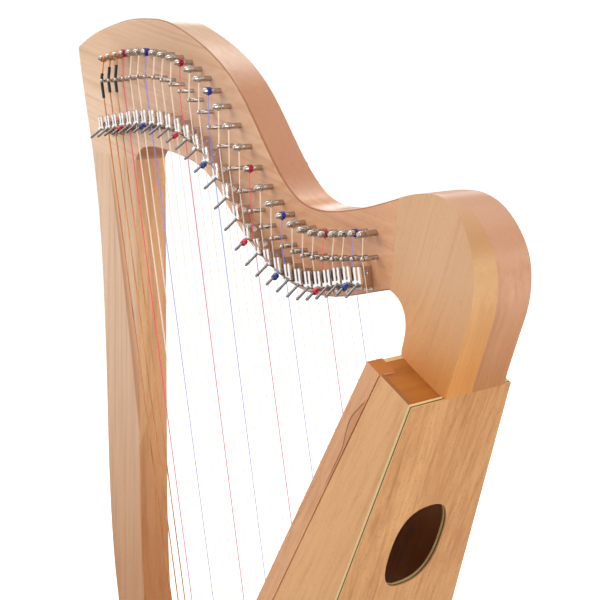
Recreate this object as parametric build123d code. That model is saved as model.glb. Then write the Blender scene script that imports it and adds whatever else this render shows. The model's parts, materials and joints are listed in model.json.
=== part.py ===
from build123d import *
import os
from math import sin, cos, atan2, hypot, radians
from types import SimpleNamespace

# Twenty-nine string lever harp. Millimetres, +Z up, floor at z = 0.
# +X runs from the pillar to the player's shoulder, -Y is the lever side.
# Dimensions count x from the plinth's middle; the files are written with the
# origin on the floor, midway along the harp's overall length.

os.makedirs("parts", exist_ok=True)

# ---- driving dimensions ----------------------------------------------------
ORIGIN_X = 51.296          # overall mid-length, from the plinth's middle
FOOT_H = 14.0              # rubber feet
PLINTH_T = 30.0
Z_BOX = FOOT_H + PLINTH_T  # underside of the soundbox and pillar
Y_FACE = 8.5               # lever-side face of the neck
NECK_T = 34.5              # neck, shoulder block and pillar thickness
Y_FAR = Y_FACE + NECK_T    # far face of the neck
Y_MID = (Y_FACE + Y_FAR) / 2
Z_JOINT = 864.0            # neck to pillar joint
FIT = 0.02                 # radial clearance of a hole
UP = Vector(0, 0, 1)

# soundbox frame: u runs down the box from its top cut, v from front (-X) to back (+X)
BOX_O = (285.85, 769.6)    # front top corner in x, z
BOX_A = (-0.4203, -0.9074) # direction of u
BOX_B = (0.9074, -0.4203)  # direction of v
BOX_TOP_D = 50.9           # depth at the top
BOX_TOP_HW = 48.7          # half width at the top
K_FRONT = 0.0159           # front plane drift, per mm of u
K_BACK = 0.12476           # back plane drift, per mm of u
K_SIDE = 0.102             # half width gain, per mm of u
U_LONG = 900.0             # bars run past the plinth, then are cropped
SIDE_T = 4.0               # side panels
BACK_T = 4.0               # plywood back
BOARD_T = 3.5              # soundboard
STRIP_W = 14.0             # edge strips, across
STRIP_D = 15.0             # edge strips, deep
REBATE = 8.0               # width of the soundboard rebate
RIM = STRIP_W - REBATE     # strip left outside the soundboard
RECESS = 1.2               # top board below the rim
TOP_T = 12.0               # top board
BOTTOM_T = 12.0            # bottom board
LINING = 9.0               # square linings in the back corners
BRACE_U = (232.0, 424.0, 612.0)
BRACE_W, BRACE_D = 14.0, 12.0
RIB_W, RIB_T = 22.0, 3.0   # outer string rib
IN_RIB_W, IN_RIB_T = 18.0, 4.0

# eyelets and the knots behind them
EYE_R, EYE_BORE = 1.7, 1.15
EYE_FLANGE_R, EYE_FLANGE_T = 2.4, 0.9
KNOT_R, KNOT_L = 2.3, 5.0
KNOT_GAP = 0.05            # knot behind the inner rib
KNOT_BORE_L = 2.6

# tuning pins and bridge pins
PEG_PROUD = 18.0           # beyond the neck face
PEG_FAR = 2.0              # round part, beyond the far face
PEG_R = 2.5
PEG_CHAMFER = 0.8
PEG_KEY = 4.8 * 0.70       # side of the square end
PEG_KEY_L = 15.0           # end of the square, beyond the far face
BRIDGE_PROUD = 16.4
BRIDGE_R = 1.9
BRIDGE_IN = 20.0
BRIDGE_CHAMFER = 0.5
GROOVE_R = 1.45
GROOVE_HALF, GROOVE_HALF_WOUND = 0.95, 1.7
GROOVE_TAPER = 0.45
STRING_OUT = 13.3          # string centre off the neck face, at the bridge pins
COIL_OUT = 10.0            # where the string leaves its tuning pin

# string stations, from the longest (bass) string to the shortest
PEG_X = [
    -169.5, -156.0, -142.3, -128.4, -114.3, -100.0, -85.6, -71.1, -56.3, -41.5,
    -26.5, -11.4, 3.8, 19.1, 34.5, 50.0, 65.5, 80.9, 96.2, 111.3,
    126.1, 140.5, 154.6, 168.1, 181.2, 193.7, 205.5, 216.7, 227.1]
PEG_Z = [
    961.5, 963.6, 965.5, 967.2, 968.4, 969.2, 969.4, 969.0, 967.7, 965.4,
    961.7, 956.3, 948.8, 939.0, 926.5, 911.3, 894.8, 878.5, 864.2, 853.0,
    845.1, 840.2, 837.8, 837.4, 838.5, 840.4, 842.6, 844.5, 845.4]
BRIDGE_X = [
    -169.9, -155.6, -141.5, -127.4, -113.3, -99.1, -84.7, -70.0, -55.0, -39.8,
    -24.3, -8.6, 7.2, 23.1, 39.0, 54.8, 70.5, 85.9, 101.1, 115.9,
    130.2, 144.0, 157.3, 170.0, 182.3, 194.3, 206.1, 217.9, 229.7]
BRIDGE_Z = [
    939.5, 940.4, 941.8, 943.5, 945.2, 946.4, 947.1, 946.7, 945.0, 941.8,
    936.8, 929.7, 920.2, 908.1, 893.2, 875.7, 858.2, 843.4, 832.2, 824.8,
    820.5, 818.3, 817.6, 818.0, 819.2, 820.9, 823.0, 825.1, 827.1]
LEVER_Z = [
    899.5, 901.5, 903.8, 906.1, 908.3, 910.2, 911.5, 912.2, 912.0, 910.6,
    907.6, 902.7, 895.6, 886.0, 873.5, 858.2, 842.2, 827.8, 817.5, 811.0,
    806.6, 803.6, 802.1, 802.4, 804.6, 807.9, 811.6, 814.6, 816.2]
# distance of each string hole down the soundboard
ANCHOR_S = [
    692.2, 668.7, 645.1, 621.7, 598.2, 574.9, 551.6, 528.3, 505.2, 482.1,
    459.1, 436.3, 413.5, 390.9, 368.4, 346.0, 323.7, 301.6, 279.7, 257.9,
    236.3, 214.8, 193.6, 172.5, 151.6, 131.0, 110.5, 90.3, 70.3]
STRING_R = [0.75, 0.70, 0.66] + [round(0.64 - 0.30 * k / 25.0, 3) for k in range(26)]
WOUND = (1, 2, 3)          # metal-wound bass strings, sleeved at the bridge pin
RED = (4, 11, 18, 25)      # the C strings
BLUE = (7, 14, 21, 28)     # the F strings
TURNS, TURNS_WOUND = 3.6, 3.0
SLEEVE_R = 1.45
SLEEVE_WRAP = 1.52         # string centre off the groove, where sleeved
SLEEVE_LENGTHS = {1: (7.0, 17.5), 2: (13.0, 12.0), 3: (14.0, 12.5)}  # above, below the pin

# sharping lever, in its own frame: across (towards +X), along (up the string),
# out (off the neck face)
PIVOT_ALONG = -5.0         # pivot below the fork's middle
PIVOT_UP = 1.3             # pivot outside the string's centre
FORK_GAP, FORK_W = 2.2, 7.4
FORK_UP0, FORK_UP1 = 4.3, 6.3   # fork faces, out from the pivot
FORK_TIP = 11.0            # along from the pivot
FORK_ROOT = 0.4
ROOT_L = 3.0
HUB_R = 3.0
HUB_0, HUB_1 = -6.1, -3.9  # hub faces, across
PIVOT_R = 1.20
PIVOT_BORE_R = 1.25
HANDLE_R = 1.5
HANDLE_START = (-1.3, 3.9)      # along, out from the pivot
HANDLE_END = (-14.6, 32.4)      # along, out from the frame's origin
CAP_R, CAP_L = 2.6, 5.2    # sleeve on the handles of red and blue strings
CAP_START = 3.6
EAR_0, EAR_1 = -7.4, -6.2  # bracket ear faces, across
EAR_R = 3.2                # eye of the ear
EAR_WINDOW = dict(along=0.4, out=6.6, radius=2.3)
PLATE_T = 1.2
PLATE_ACROSS, PLATE_ALONG = -16.4, (-14.0, 4.5)
SCREW_PLACES = ((-12.0, 1.0), (-12.0, -10.6))   # across, along
SCREW_R, SCREW_DEPTH = 1.25, 9.0
SCREW_HEAD_R, SCREW_HEAD_T = 2.4, 1.1


# ---- general helpers -------------------------------------------------------
def at(point, y):
    """The (x, z) point at depth y."""
    return Vector(point[0], y, point[1])


def spline(points, y):
    return Edge.make_spline([at(p, y) for p in points])


def line(start, end, y):
    return Edge.make_line(at(start, y), at(end, y))


def prism(edges, y0, y1):
    """Solid from a closed loop of edges in the plane y = y0."""
    return extrude(Face(Wire(edges)), amount=y1 - y0, dir=(0, 1, 0))


def cylinder(radius, length, origin, axis=UP):
    return Solid.make_cylinder(radius, length, Plane(origin=origin, z_dir=axis))


def cone(radius0, radius1, length, origin, axis=UP):
    return Solid.make_cone(radius0, radius1, length, Plane(origin=origin, z_dir=axis))


def tube(start, end, radius):
    return cylinder(radius, (end - start).length, start, end - start)


def along_y(x, z, y0, y1, radius):
    return cylinder(radius, y1 - y0, (x, y0, z), (0, 1, 0))


def ball(centre, radius):
    return Pos(*centre) * Sphere(radius)


def one(shape):
    """The largest single solid of a shape."""
    return max(shape.solids(), key=lambda s: s.volume)


def drilled(solid, tools):
    for tool in tools:
        solid = solid - tool
    return one(solid)


def round_outline(solid, face_ys, radius):
    """Fillet the curved outline edges lying on the given y planes."""
    edges = [e for e in solid.edges()
             if any(abs(e.center().Y - y) < 0.01 for y in face_ys)
             and e.geom_type != GeomType.LINE]
    for share in (1.0, 0.6, 0.3):
        # guards against a radius the kernel can't build: the next is smaller
        try:
            result = fillet(edges, radius * share)
            if result.is_valid and len(result.solids()) == 1:
                return result.solids()[0]
        except Exception:
            pass
    return solid


def save(name, shapes):
    solids = [s.moved(Location((-ORIGIN_X, 0, 0))) for shape in shapes for s in shape.solids()]
    result = solids[0] if len(solids) == 1 else Compound(solids)
    result.label = name
    export_step(result, "parts/%s.step" % name)


# ---- soundbox frame --------------------------------------------------------
def box_xz(u, v):
    return (BOX_O[0] + u * BOX_A[0] + v * BOX_B[0], BOX_O[1] + u * BOX_A[1] + v * BOX_B[1])


def v_front(u):
    return K_FRONT * u


def v_back(u):
    return BOX_TOP_D + K_BACK * u


def half_w(u):
    return BOX_TOP_HW + K_SIDE * u


def slope(drift):
    """Unit direction down a drifting plane, and its length per mm of u."""
    direction = Vector(BOX_A[0] + drift * BOX_B[0], 0, BOX_A[1] + drift * BOX_B[1])
    return direction.normalized(), direction.length


FRONT_DIR, _ = slope(K_FRONT)
BACK_DIR, BACK_PER_U = slope(K_BACK)
INWARD = Vector(-FRONT_DIR.Z, 0, FRONT_DIR.X)   # into the box, square to the soundboard


# extents of a bar: each gives a function of u returning a pair
def from_front(v0, v1):
    return lambda u: (v_front(u) + v0, v_front(u) + v1)


def inside_back(thickness):
    """A layer of this thickness against the inside of the back."""
    return lambda u: (v_back(u) - BACK_T - thickness, v_back(u) - BACK_T)


def board_to_back(u):
    return v_front(u) + BOARD_T, v_back(u) - BACK_T


def at_side(sign, inset0, inset1):
    return lambda u: (sign * (half_w(u) - inset0), sign * (half_w(u) - inset1))


def full_width(inset):
    return lambda u: (-(half_w(u) - inset), half_w(u) - inset)


def hexahedron(corners):
    """Solid from eight corners, the first four at one end."""
    loops = [(0, 1, 2, 3), (4, 7, 6, 5), (0, 4, 5, 1), (1, 5, 6, 2), (2, 6, 7, 3), (3, 7, 4, 0)]
    faces = [Face(Wire.make_polygon([corners[i] for i in loop], close=True)) for loop in loops]
    return Solid(Shell(faces))


def bar(u0, u1, depth, across):
    """Bar along the box, with its v and y extents given as functions of u."""
    corners = []
    for u in (u0, u1):
        v0, v1 = depth(u)
        y0, y1 = across(u)
        corners += [at(box_xz(u, v), y) for v, y in ((v0, y0), (v1, y0), (v1, y1), (v0, y1))]
    return hexahedron(corners)


def crop(shape, z0=Z_BOX):
    """Keep what lies above z0."""
    return one(shape & Pos(150, 0, z0 + 500) * Box(1400, 700, 1000))


# ---- string runs -----------------------------------------------------------
def string_run(i):
    """Where a string leaves its pin, bends, passes its lever and enters the box."""
    number = i + 1
    radius = STRING_R[i]
    wrap = SLEEVE_WRAP if number in WOUND else radius
    x = BRIDGE_X[i] - GROOVE_R - wrap - 0.03
    bridge = Vector(x, Y_FACE - STRING_OUT, BRIDGE_Z[i])
    tilt = atan2(x - (PEG_X[i] - PEG_R - radius), PEG_Z[i] - BRIDGE_Z[i])
    peg_x = PEG_X[i] - (PEG_R + radius) / cos(tilt) - 0.05
    peg = Vector(peg_x, Y_FACE - COIL_OUT, PEG_Z[i])
    hole = at(BOX_O, 0) + FRONT_DIR * ANCHOR_S[i]
    eye = hole - INWARD * (RIB_T + EYE_FLANGE_T + 0.45)
    inner = hole + INWARD * (BOARD_T + IN_RIB_T + 2.0)
    lean = atan2(eye.X - bridge.X, bridge.Z - eye.Z)
    length = hypot(eye.X - bridge.X, eye.Z - bridge.Z)
    drop = (bridge.Z - LEVER_Z[i]) / cos(lean)
    lever = Vector(bridge.X + sin(lean) * drop,
                   bridge.Y + (eye.Y - bridge.Y) * drop / length, LEVER_Z[i])
    return SimpleNamespace(number=number, radius=radius, peg=peg, bridge=bridge, hole=hole,
                           eye=eye, inner=inner, lean=lean, lever=lever,
                           peg_x=PEG_X[i], peg_z=PEG_Z[i],
                           bridge_x=BRIDGE_X[i], bridge_z=BRIDGE_Z[i])


# ---- neck: outline points in x, z ------------------------------------------
NECK_TOP = [
    (-243.4, 972.7), (-222.0, 981.5), (-198.3, 988.3), (-176.9, 992.9), (-156.3, 996.6),
    (-136.0, 999.2), (-117.1, 1000.0), (-98.4, 999.9), (-80.2, 998.9), (-62.5, 996.0),
    (-45.4, 991.2), (-28.6, 985.3), (-12.2, 978.9), (3.7, 971.5), (19.4, 962.7),
    (34.7, 952.2), (49.7, 939.4), (64.4, 923.9), (79.0, 906.8), (93.3, 890.2),
    (107.4, 875.8), (121.2, 864.6), (134.6, 857.4), (147.8, 854.0), (160.6, 853.2),
    (173.0, 854.1), (185.2, 856.0), (197.0, 858.4), (219.9, 864.3), (241.7, 871.3),
    (251.2, 874.4)]
NECK_LOW = [
    (247.1, 805.1), (223.9, 798.4), (205.1, 792.5), (185.5, 787.4), (165.1, 784.1),
    (144.2, 783.5), (123.6, 786.3), (105.0, 791.6), (86.0, 799.6), (68.0, 808.6),
    (51.5, 819.6), (37.0, 832.4), (23.3, 845.0), (10.5, 855.6), (-3.0, 864.2),
    (-20.7, 871.0), (-41.2, 875.2), (-62.0, 877.8), (-84.2, 879.3), (-103.0, 878.8),
    (-116.6, 876.2), (-125.8, 870.8), (-131.0, Z_JOINT)]
NECK_END = [
    (-223.9, Z_JOINT), (-227.4, 880.4), (-234.2, 906.0), (-240.2, 931.7), (-245.0, 952.1),
    (-247.6, 966.5)]
NECK_CORNER = (-246.6, 971.2)   # middle of the arc from the end to the top


def make_neck():
    edges = [spline(NECK_TOP, Y_FACE),
             line(NECK_TOP[-1], NECK_LOW[0], Y_FACE),
             spline(NECK_LOW, Y_FACE),
             line(NECK_LOW[-1], NECK_END[0], Y_FACE),
             spline(NECK_END, Y_FACE),
             Edge.make_three_point_arc(at(NECK_END[-1], Y_FACE), at(NECK_CORNER, Y_FACE),
                                       at(NECK_TOP[0], Y_FACE))]
    return round_outline(one(prism(edges, Y_FACE, Y_FAR)), (Y_FACE, Y_FAR), 1.6)


# ---- pillar: outline points in x, z, and its bolt --------------------------
PILLAR_OUT = [
    NECK_END[0], (-217.6, 828.6), (-214.3, 804.0), (-211.6, 775.7), (-208.8, 721.5),
    (-207.8, 668.0), (-207.6, 614.5), (-208.2, 567.5), (-208.4, 532.0), (-207.4, 472.0),
    (-204.6, 425.0), (-200.5, 388.3), (-193.8, 350.0), (-183.6, 308.0), (-169.6, 262.0),
    (-152.6, 214.0), (-135.0, 168.0), (-119.6, 126.0), (-108.6, 88.0), (-103.4, 60.0),
    (-102.5, Z_BOX)]
PILLAR_IN = [
    (-40.8, Z_BOX), (-45.6, 62.0), (-55.0, 92.0), (-69.6, 132.0), (-86.0, 176.0),
    (-102.4, 224.0), (-117.0, 276.0), (-128.0, 328.0), (-134.6, 379.0), (-137.4, 441.4),
    (-137.8, 512.3), (-136.7, 565.3), (-135.2, 640.0), (-133.5, 720.2), (-131.8, 800.0),
    NECK_LOW[-1]]
BOLT_X = -72.0
BOLT_R, BOLT_L = 4.0, 72
BOLT_HOLE_R = 4.05
BOLT_HEAD_T, BOLT_HEAD_APOTHEM = 5.3, 6.5
BOLT_HEAD_UP = 1.2         # head above the plinth's underside
WASHER_R, WASHER_T = 9.0, 1.5


def make_pillar():
    edges = [spline(PILLAR_OUT, Y_FACE),
             line(PILLAR_OUT[-1], PILLAR_IN[0], Y_FACE),
             spline(PILLAR_IN, Y_FACE),
             line(PILLAR_IN[-1], PILLAR_OUT[0], Y_FACE)]
    body = round_outline(one(prism(edges, Y_FACE, Y_FAR)), (Y_FACE, Y_FAR), 1.8)
    return one(body - cylinder(BOLT_HOLE_R, 56, (BOLT_X, Y_MID, Z_BOX - 5)))


def make_bolt():
    head_z = FOOT_H + BOLT_HEAD_UP
    washer_z = head_z + BOLT_HEAD_T
    hexagon = RegularPolygon(BOLT_HEAD_APOTHEM, 6, major_radius=False)
    head = extrude(Plane(origin=(BOLT_X, Y_MID, head_z)) * hexagon, amount=BOLT_HEAD_T)
    return one(head + cylinder(WASHER_R, WASHER_T, (BOLT_X, Y_MID, washer_z))
               + cylinder(BOLT_R, BOLT_L, (BOLT_X, Y_MID, washer_z + 0.5)))


# ---- shoulder: a block in line with the neck, a carved cheek on the lever side
SHOULDER_TOP = [
    NECK_TOP[-1], (258.2, 876.7), (268.3, 879.3), (278.2, 881.2), (288.0, 882.3),
    (297.7, 882.6), (307.3, 881.2), (316.9, 877.8), (325.6, 872.5), (333.3, 865.7),
    (339.6, 858.2), (344.8, 849.8), (348.2, 841.0), (350.0, 831.1), (350.4, 820.6),
    (349.5, 811.2), (347.4, 801.6), (344.6, 792.3), (341.7, 783.0), (338.8, 773.5),
    (335.9, 763.9), (333.4, 755.0)]
SHOULDER_THROAT = [
    (284.4, 772.0), (284.0, 779.0), (282.2, 785.8), (278.4, 791.6), (272.3, 796.6),
    (264.6, 800.6), (256.4, 803.2), NECK_LOW[0]]
CHEEK_Y = -26.0            # lever-side limit of the uncarved cheek
# y of the carved face: one row per x, one column per z
CARVE_X = [232.0, 254.7, 277.3, 300.0, 322.7, 345.3, 368.0]
CARVE_Z = [728.0, 752.6, 777.1, 801.7, 826.3, 850.9, 875.4, 900.0]
CARVE_Y = [
    [-9.5, -5.2, 1.2, 6.6, 7.6, 8.2, 9.0, 10.4],
    [-14.5, -11.4, -4.7, 3.9, 6.4, 7.2, 8.2, 9.6],
    [-18.2, -17.3, -12.2, -3.2, 1.2, 3.1, 5.0, 6.5],
    [-19.2, -17.9, -15.0, -9.3, -4.9, -2.2, -0.2, 1.7],
    [-18.9, -17.3, -15.7, -12.9, -10.1, -7.6, -5.3, -3.1],
    [-19.6, -17.7, -16.9, -16.0, -14.3, -12.3, -9.9, -7.5],
    [-21.8, -20.2, -19.4, -18.8, -17.7, -16.0, -13.9, -11.5]]


def shoulder(y0, y1):
    # the underside sits on the ply edge at the back, on the recessed boards in front
    corners = [SHOULDER_TOP[-1],
               box_xz(0.0, BOX_TOP_D),
               box_xz(0.0, BOX_TOP_D - BACK_T),
               box_xz(RECESS, v_back(RECESS) - BACK_T),
               box_xz(RECESS, v_front(RECESS)),
               SHOULDER_THROAT[0]]
    edges = [spline(SHOULDER_TOP, y0)]
    edges += [line(a, b, y0) for a, b in zip(corners, corners[1:])]
    edges += [spline(SHOULDER_THROAT, y0), line(SHOULDER_THROAT[-1], SHOULDER_TOP[0], y0)]
    return one(prism(edges, y0, y1))


def make_shoulder_block():
    return round_outline(shoulder(Y_FACE, Y_FAR), (Y_FAR,), 1.6)


def make_cheek():
    carved = Face.make_surface_from_array_of_points(
        [[Vector(x, y, z) for y, z in zip(row, CARVE_Z)] for x, row in zip(CARVE_X, CARVE_Y)])
    return one(shoulder(CHEEK_Y, Y_FACE) - extrude(carved, amount=60, dir=(0, -1, 0)))


# ---- soundbox --------------------------------------------------------------
# oval sound holes: distance down the back, share of its width
SOUND_HOLES = [(137.0, 0.430), (330.0, 0.405), (525.0, 0.385)]
HOLE_ASPECT, HOLE_POWER, HOLE_Y = 1.42, 2.55, 1.5
HOLE_POINTS = 32


def make_side(sign):
    """Edge strip and side panel, with a shallow outside groove along their joint."""
    strip = bar(0, U_LONG, from_front(0, STRIP_D), at_side(sign, 0.0, STRIP_W))
    strip = strip - bar(RECESS, U_LONG + 5, from_front(-1, BOARD_T),
                        at_side(sign, RIM, STRIP_W + 10))
    groove = bar(-5, U_LONG, from_front(STRIP_D - 0.7, STRIP_D + 0.5), at_side(sign, -1.0, 1.0))
    panel = bar(0, U_LONG, lambda u: (v_front(u) + STRIP_D, v_back(u) - BACK_T),
                at_side(sign, 0.0, SIDE_T))
    return crop(strip - groove), crop(panel - groove)


def signed_power(value, power):
    return abs(value) ** power * (1 if value > 0 else -1)


def make_back():
    back = crop(bar(0, U_LONG, lambda u: (v_back(u) - BACK_T, v_back(u)), full_width(0)))
    for distance, share in SOUND_HOLES:
        half_across = half_w(distance / BACK_PER_U) * share
        half_down = half_across * HOLE_ASPECT
        centre = at(box_xz(0, BOX_TOP_D), HOLE_Y) + BACK_DIR * distance
        ring = []
        for k in range(HOLE_POINTS):
            angle = radians(k * 360 / HOLE_POINTS)
            across = half_across * signed_power(cos(angle), 2 / HOLE_POWER)
            down = half_down * signed_power(sin(angle), 2 / HOLE_POWER)
            ring.append(centre + BACK_DIR * down + Vector(0, across, 0))
        hole = Face(Wire(Edge.make_spline(ring, periodic=True)))
        through = (-BACK_DIR.Z, 0, BACK_DIR.X)
        back = one(back - extrude(hole, amount=25, dir=through, both=True))
    return back


def make_top_board(left_strip, right_strip):
    board = bar(RECESS, RECESS + TOP_T, board_to_back, full_width(SIDE_T))
    return one(board - left_strip - right_strip)


def make_bottom_board(left_strip, right_strip):
    board = bar(0, U_LONG, board_to_back, full_width(SIDE_T))
    board = one(board & (Pos(100, 0, Z_BOX + BOTTOM_T / 2) * Box(900, 600, BOTTOM_T)))
    return one(board - left_strip - right_strip)


def make_framing():
    """Linings in the back corners and braces across the back."""
    linings = [crop(bar(RECESS + TOP_T + 1, U_LONG, inside_back(LINING),
                        at_side(sign, SIDE_T, SIDE_T + LINING)), Z_BOX + BOTTOM_T)
               for sign in (-1, 1)]
    braces = [bar(u, u + BRACE_W, inside_back(BRACE_D), full_width(SIDE_T + LINING))
              for u in BRACE_U]
    return linings + braces


def make_rib(u0, z0, width, v0, v1):
    return crop(bar(u0, U_LONG, from_front(v0, v1), lambda u: (-width / 2, width / 2)), z0)


def string_hole(run, radius):
    return cylinder(radius, 40, run.hole - INWARD * 20, INWARD)


def make_eyelet(run):
    body = cylinder(EYE_R, RIB_T + BOARD_T, run.hole - INWARD * RIB_T, INWARD)
    flange = cylinder(EYE_FLANGE_R, EYE_FLANGE_T,
                      run.hole - INWARD * (RIB_T + EYE_FLANGE_T), INWARD)
    return one(body + flange - string_hole(run, EYE_BORE))


def make_knot(run):
    start = run.hole + INWARD * (BOARD_T + IN_RIB_T + KNOT_GAP)
    return one(cylinder(KNOT_R, KNOT_L, start, INWARD)
               - cylinder(run.radius + FIT, KNOT_BORE_L, start - INWARD * 0.15, INWARD))


# ---- plinth, feet and their screws -----------------------------------------
PLINTH_X = 120.0           # half length
PLINTH_HW, PLINTH_NOSE = 139.0, 78.0   # half widths, at the full part and at -X
PLINTH_TAPER_X = -34.0
FOOT_PLACES = ((94, -112), (94, 112), (-92, -62), (-92, 62))
FOOT_SCREW_R = 2.25
FOOT_HEAD_R = 4.6
FOOT_HEAD_Z = 4.3          # wide end of the head's cone
FOOT_CONE_H, FOOT_RIM_H = 2.6, 0.6


def make_plinth():
    outline = [(PLINTH_X, -PLINTH_HW), (PLINTH_X, PLINTH_HW), (PLINTH_TAPER_X, PLINTH_HW),
               (-PLINTH_X, PLINTH_NOSE), (-PLINTH_X, -PLINTH_NOSE),
               (PLINTH_TAPER_X, -PLINTH_HW)]
    base = Face(Wire.make_polygon([Vector(x, y, FOOT_H) for x, y in outline], close=True))
    plinth = extrude(base, amount=PLINTH_T, dir=(0, 0, 1))
    plinth = fillet(plinth.edges().filter_by(Axis.Z), 22)
    plinth = fillet(plinth.edges().group_by(Axis.Z)[-1], 5)
    plinth = fillet(plinth.edges().group_by(Axis.Z)[0], 2)
    tools = [cylinder(FOOT_SCREW_R + FIT, 21.2, (x, y, FOOT_H)) for x, y in FOOT_PLACES]
    tools += [cylinder(BOLT_HOLE_R, 60, (BOLT_X, Y_MID, 0)),
              cylinder(9.5, 8.0, (BOLT_X, Y_MID, FOOT_H))]
    return drilled(plinth, tools)


def make_foot(x, y):
    foot = cone(11.0, 13.0, FOOT_H, (x, y, 0))
    foot = foot - cylinder(6.0, 7.0, (x, y, 0)) - cylinder(2.6, 40, (x, y, 0))
    return one(fillet(foot.edges().group_by(Axis.Z)[0], 1.0))


def make_foot_screw(x, y):
    screw = one(cone(FOOT_HEAD_R, FOOT_SCREW_R, FOOT_CONE_H, (x, y, FOOT_HEAD_Z))
                + cylinder(FOOT_SCREW_R, 28, (x, y, FOOT_HEAD_Z + FOOT_CONE_H))
                + cylinder(FOOT_HEAD_R, FOOT_RIM_H, (x, y, FOOT_HEAD_Z - FOOT_RIM_H)))
    slot = Pos(x, y, 4.0) * Box(6.5, 1.0, 1.6)
    return one(screw - slot)


# ---- dowels ----------------------------------------------------------------
def dowel_and_hole(start, axis, radius, length):
    return (cylinder(radius, length, start, axis),
            cylinder(radius + FIT, length + 1, start - axis * 0.5, axis))


PILLAR_DOWELS = [dowel_and_hole(Vector(x, Y_MID, Z_JOINT - 22), UP, 5.0, 44)
                 for x in (-196.0, -160.0)]
SHOULDER_DOWELS = [dowel_and_hole(Vector(235.0, Y_MID, z), Vector(1, 0, 0), 4.0, 28)
                   for z in (813.0, 858.0)]


# ---- tuning pins, bridge pins, strings -------------------------------------
def make_tuning_pin(run):
    x, z = run.peg_x, run.peg_z
    key_l = PEG_KEY_L - PEG_FAR
    pin = along_y(x, z, Y_FACE - PEG_PROUD + PEG_CHAMFER, Y_FAR + PEG_FAR, PEG_R)
    pin += cone(PEG_R - PEG_CHAMFER, PEG_R, PEG_CHAMFER, (x, Y_FACE - PEG_PROUD, z), (0, 1, 0))
    pin += Pos(x, Y_FAR + PEG_FAR + key_l / 2, z) * Box(PEG_KEY, key_l, PEG_KEY)
    return one(pin)


def make_bridge_pin(run):
    x, z = run.bridge_x, run.bridge_z
    tip = Y_FACE - BRIDGE_PROUD
    end = Y_FACE + BRIDGE_IN
    groove = Y_FACE - STRING_OUT
    half = GROOVE_HALF_WOUND if run.number in WOUND else GROOVE_HALF
    profile = [(0, tip), (BRIDGE_R - BRIDGE_CHAMFER, tip), (BRIDGE_R, tip + BRIDGE_CHAMFER),
               (BRIDGE_R, groove - half), (GROOVE_R, groove - half + GROOVE_TAPER),
               (GROOVE_R, groove + half - GROOVE_TAPER), (BRIDGE_R, groove + half),
               (BRIDGE_R, end), (0, end)]   # radius, y
    face = Face(Wire.make_polygon([Vector(x + r, y, z) for r, y in profile], close=True))
    return one(revolve(face, Axis((x, 0, z), (0, 1, 0)), 360))


def pin_holes(run):
    return [along_y(run.peg_x, run.peg_z, Y_FACE - 1, Y_FAR + 1, PEG_R + FIT),
            along_y(run.bridge_x, run.bridge_z, Y_FACE - 1, Y_FACE + BRIDGE_IN, BRIDGE_R + FIT)]


def make_string(run):
    """Coil on the tuning pin, down over the bridge pin, to the eyelet and in."""
    r = run.radius
    turns = TURNS_WOUND if run.number in WOUND else TURNS
    coil = (along_y(run.peg_x, run.peg_z, run.peg.Y - 2 * r * turns + r, run.peg.Y + r,
                    PEG_R + 2 * r)
            - along_y(run.peg_x, run.peg_z, -40, 40, PEG_R + FIT))
    string = (tube(run.peg, run.bridge, r) + ball(run.bridge, r)
              + tube(run.bridge, run.eye, r) + ball(run.eye, r)
              + tube(run.eye, run.inner, r))
    return one(string + coil)


def make_sleeve(run):
    bend = run.bridge
    up = (run.peg - bend).normalized()
    down = (run.eye - bend).normalized()
    up_l, down_l = SLEEVE_LENGTHS[run.number]

    def bent_rod(radius, extra):
        return (tube(bend + up * (up_l + extra), bend, radius) + ball(bend, radius)
                + tube(bend, bend + down * (down_l + extra), radius))

    return one(bent_rod(SLEEVE_R, 0) - bent_rod(run.radius + FIT, 2))


# ---- sharping levers and their brackets ------------------------------------
class LeverFrame:
    """Lever frame of one string, its origin on the neck face behind the string."""

    def __init__(self, run):
        self.across = Vector(cos(run.lean), 0, sin(run.lean))
        self.along = Vector(-sin(run.lean), 0, cos(run.lean))
        self.out = Vector(0, -1, 0)
        self.origin = Vector(run.lever.X, Y_FACE, run.lever.Z)
        self.pivot_out = Y_FACE - run.lever.Y + PIVOT_UP

    def point(self, a, b, c):
        return self.origin + self.across * a + self.along * b + self.out * c

    def block(self, a0, a1, b0, b1, c0, c1):
        centre = self.point((a0 + a1) / 2, (b0 + b1) / 2, (c0 + c1) / 2)
        plane = Plane(origin=centre, x_dir=self.across, z_dir=self.out)
        return plane * Box(a1 - a0, b1 - b0, c1 - c0)

    def rod(self, a0, a1, along, out, radius):
        return cylinder(radius, a1 - a0, self.point(a0, along, out), self.across)

    def pivot_rod(self, a0, a1, radius):
        return self.rod(a0, a1, PIVOT_ALONG, self.pivot_out, radius)

    def post(self, a, b, c, radius, length):
        return cylinder(radius, length, self.point(a, b, c), self.out)


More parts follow.
